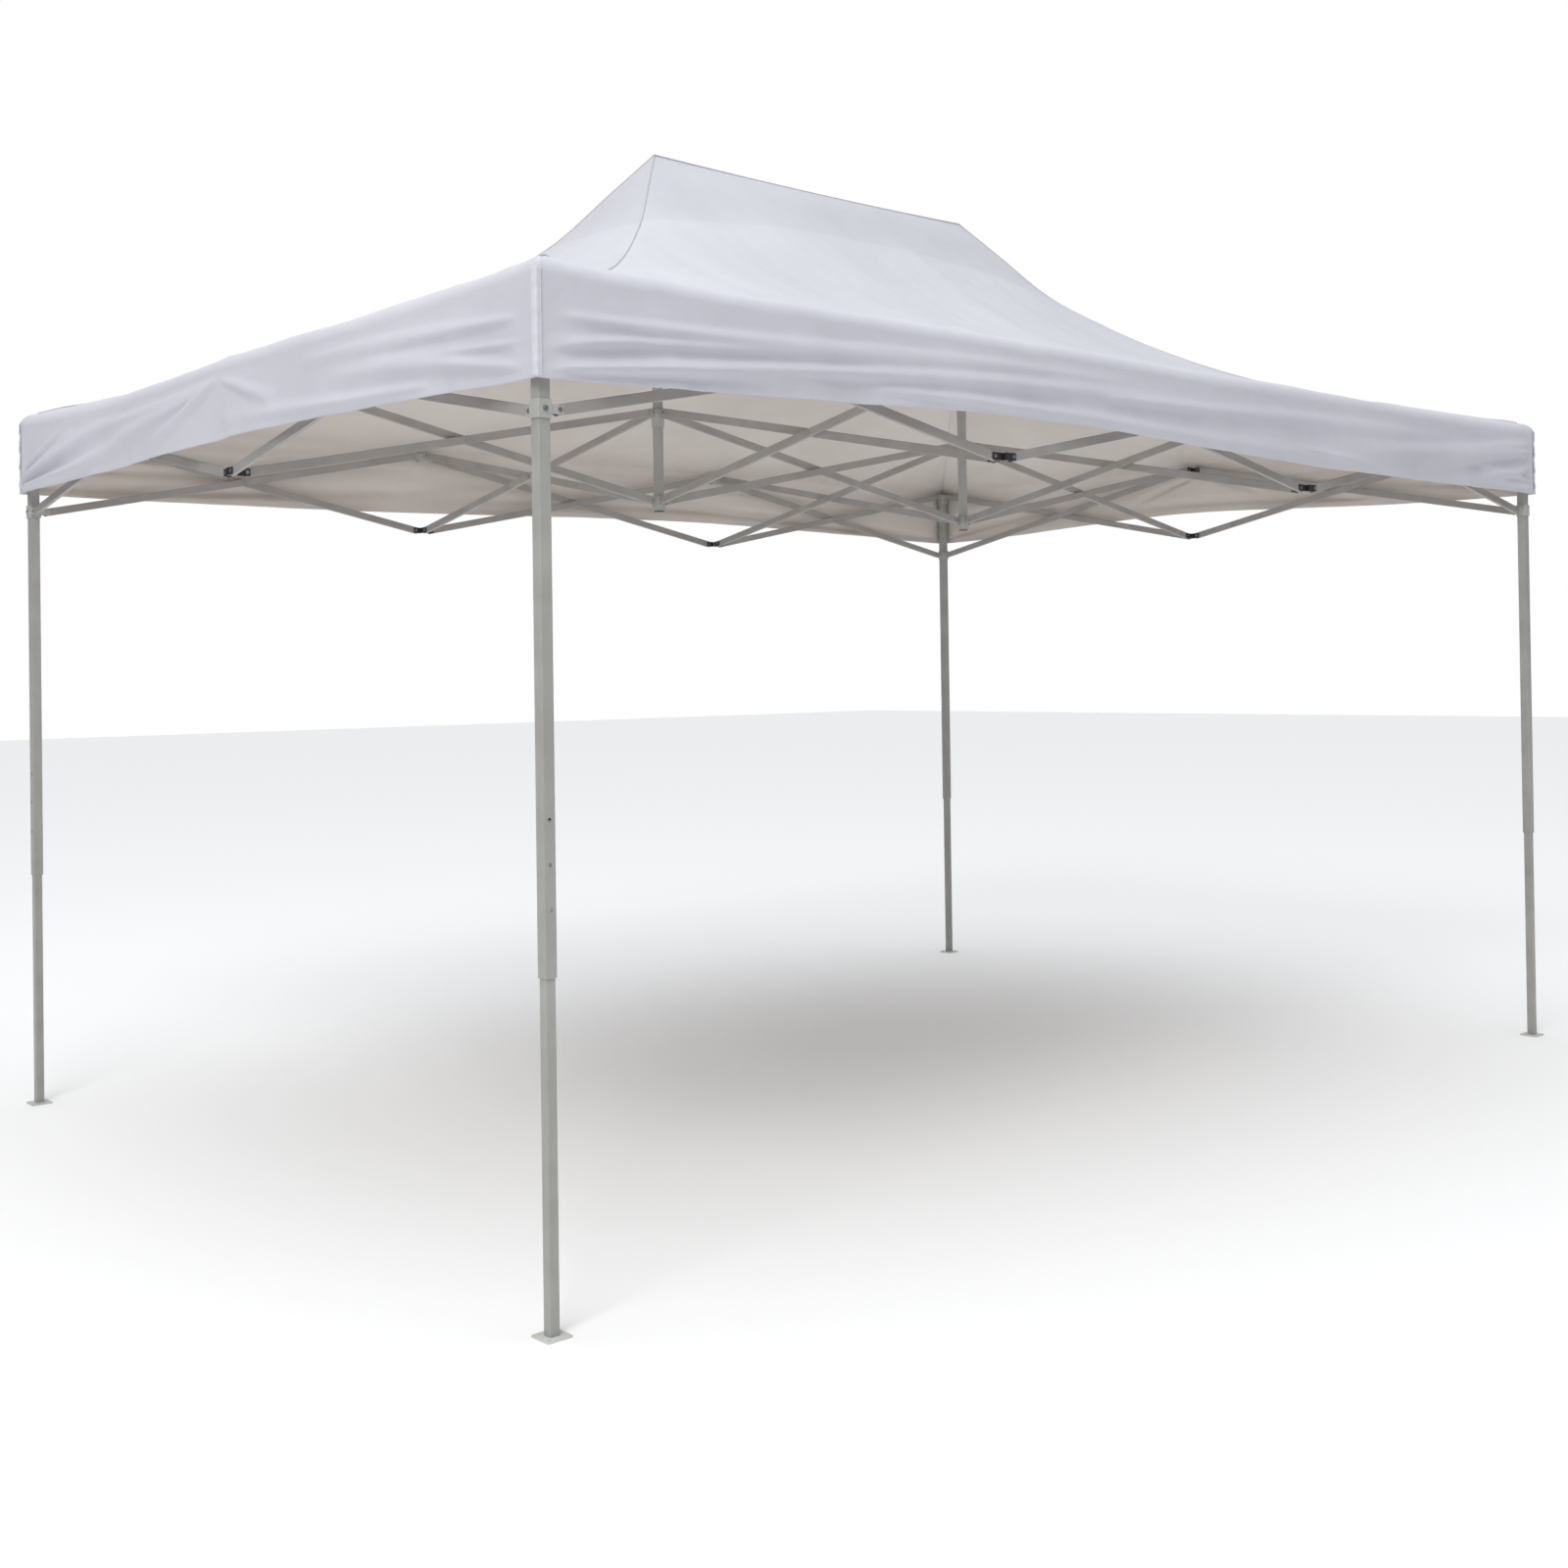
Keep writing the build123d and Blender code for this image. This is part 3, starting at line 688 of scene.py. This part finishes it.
def corner_strip(leg):
    """The doubled binding down a corner of the valances, folded round it and stitched at both edges."""
    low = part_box("outer_" + leg)[0]
    out_x = math.copysign(1, low.x)
    out_y = math.copysign(1, low.y)
    turns = np.linspace(0, math.pi / 2, 9)
    wing = np.linspace(STRIP_WING, 0, 8)[:-1]
    flat = np.zeros_like(wing)
    inward_x = np.concatenate([STRIP_R + wing, STRIP_R * (1 - np.sin(turns)), flat])
    inward_y = np.concatenate([flat, STRIP_R * (1 - np.cos(turns)), STRIP_R + wing[::-1]])
    edge = np.concatenate([STRIP_WING - wing, np.full(len(turns), STRIP_WING), STRIP_WING - wing[::-1]])
    puffed = STRIP_OUT - STITCH_DEEP * np.exp(-(((edge - STITCH_IN) / STITCH_WIDE) ** 2))
    share = np.linspace(0, 1, 60)[:, None]
    top = EAVE_Z + CORNER_PEAK - ROUND + STRIP_LAP
    high = top - share * (top - HEM_Z)
    # it hangs a little unevenly
    slack = 0.0008 * np.sin(share * 23) + 0.0005 * np.sin(share * 51 + 1)
    x = out_x * (EDGE_X + puffed + slack - inward_x)
    y = out_y * (EDGE_Y + puffed + slack - inward_y)
    points = np.stack(np.broadcast_arrays(x, y, high), -1)
    if out_x * out_y > 0:
        points = points[:, ::-1]
    uv = np.stack(np.broadcast_arrays(run_along(points[0])[None, :], high), -1)
    # the corner strip takes half the painted shade of the hanging cloth
    piece = cloth_piece("corner_strip_" + leg[4:], points, uv, double_layer=0.0, hanging_shade=0.5)
    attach(piece, "outer_" + leg)


for leg in ("leg_front_left", "leg_front_right", "leg_back_left", "leg_back_right"):
    corner_strip(leg)
for side in SIDES:
    roof_panel(side)
    valance(side)
    if side in LONG_SIDES:
        piping(side)


# ---------------------------------------------------------------- camera, light and floor
def stage_floor():
    """A wide pale floor."""
    half = 40.0
    corners = [(-half, -half, 0), (half, -half, 0), (half, half, 0), (-half, half, 0)]
    mesh = bpy.data.meshes.new("floor")
    mesh.from_pydata(corners, [], [(0, 1, 2, 3)])
    made, _, _, shader = material("pale_floor")
    shader.inputs["Base Color"].default_value = (0.96, 0.96, 0.96, 1)
    shader.inputs["Roughness"].default_value = 0.9
    shader.inputs["Specular IOR Level"].default_value = 0.1
    mesh.materials.append(made)
    floor = bpy.data.objects.new("floor", mesh)
    bpy.context.scene.collection.objects.link(floor)


def stage_light(name, location, aim, size, power, colour):
    """One soft box."""
    data = bpy.data.lights.new(name, "AREA")
    data.shape = "SQUARE"
    data.size = size
    data.energy = power
    data.color = colour
    lamp = bpy.data.objects.new(name, data)
    lamp.location = location
    lamp.rotation_euler = (Vector(aim) - Vector(location)).to_track_quat("-Z", "Y").to_euler()
    bpy.context.scene.collection.objects.link(lamp)


def stage_world(horizon, zenith):
    """A white surround whose light comes mostly from above, as under a bright overcast sky."""
    world = bpy.data.worlds.new("surround")
    world.use_nodes = True
    nodes, links = world.node_tree.nodes, world.node_tree.links
    way = nodes.new("ShaderNodeSeparateXYZ")
    links.new(nodes.new("ShaderNodeTexCoord").outputs["Generated"], way.inputs["Vector"])
    squared = nodes.new("ShaderNodeMath")
    squared.operation = "MULTIPLY"
    sky = nodes.new("ShaderNodeMapRange")
    sky.inputs["To Min"].default_value = horizon
    sky.inputs["To Max"].default_value = zenith
    for index in range(2):
        links.new(way.outputs["Z"], squared.inputs[index])
    links.new(squared.outputs["Value"], sky.inputs["Value"])
    background = nodes["Background"]
    links.new(sky.outputs["Result"], background.inputs["Strength"])
    seen = nodes.new("ShaderNodeBackground")
    choose = nodes.new("ShaderNodeMixShader")
    links.new(nodes.new("ShaderNodeLightPath").outputs["Is Camera Ray"], choose.inputs["Fac"])
    for shader, socket, tint in ((background, 1, SKY_TINT), (seen, 2, (1, 1, 1))):
        shader.inputs["Color"].default_value = (*tint, 1)
        links.new(shader.outputs["Background"], choose.inputs[socket])
    links.new(choose.outputs["Shader"], nodes["World Output"].inputs["Surface"])
    bpy.context.scene.world = world
    bpy.context.scene.view_settings.view_transform = "Standard"


def stage_camera():
    """The camera: a little below head height, off the front left corner."""
    data = bpy.data.cameras.new("camera")
    data.sensor_width = 36.0
    data.lens = 41.8
    data.shift_y = -0.0835
    data.clip_end = 200.0
    camera = bpy.data.objects.new("camera", data)
    camera.location = (-4.413, -4.679, 1.397)
    camera.rotation_euler = Euler((math.radians(90.57), math.radians(0.79), math.radians(-42.04)))
    bpy.context.scene.collection.objects.link(camera)
    bpy.context.scene.camera = camera


stage_floor()
stage_world(horizon=0.056, zenith=1.79)
stage_light("key", (-7.5, -4.8, 8.0), aim=(0, 0, 2.0), size=4.0, power=426.0, colour=(1.0, 0.985, 0.965))
stage_camera()
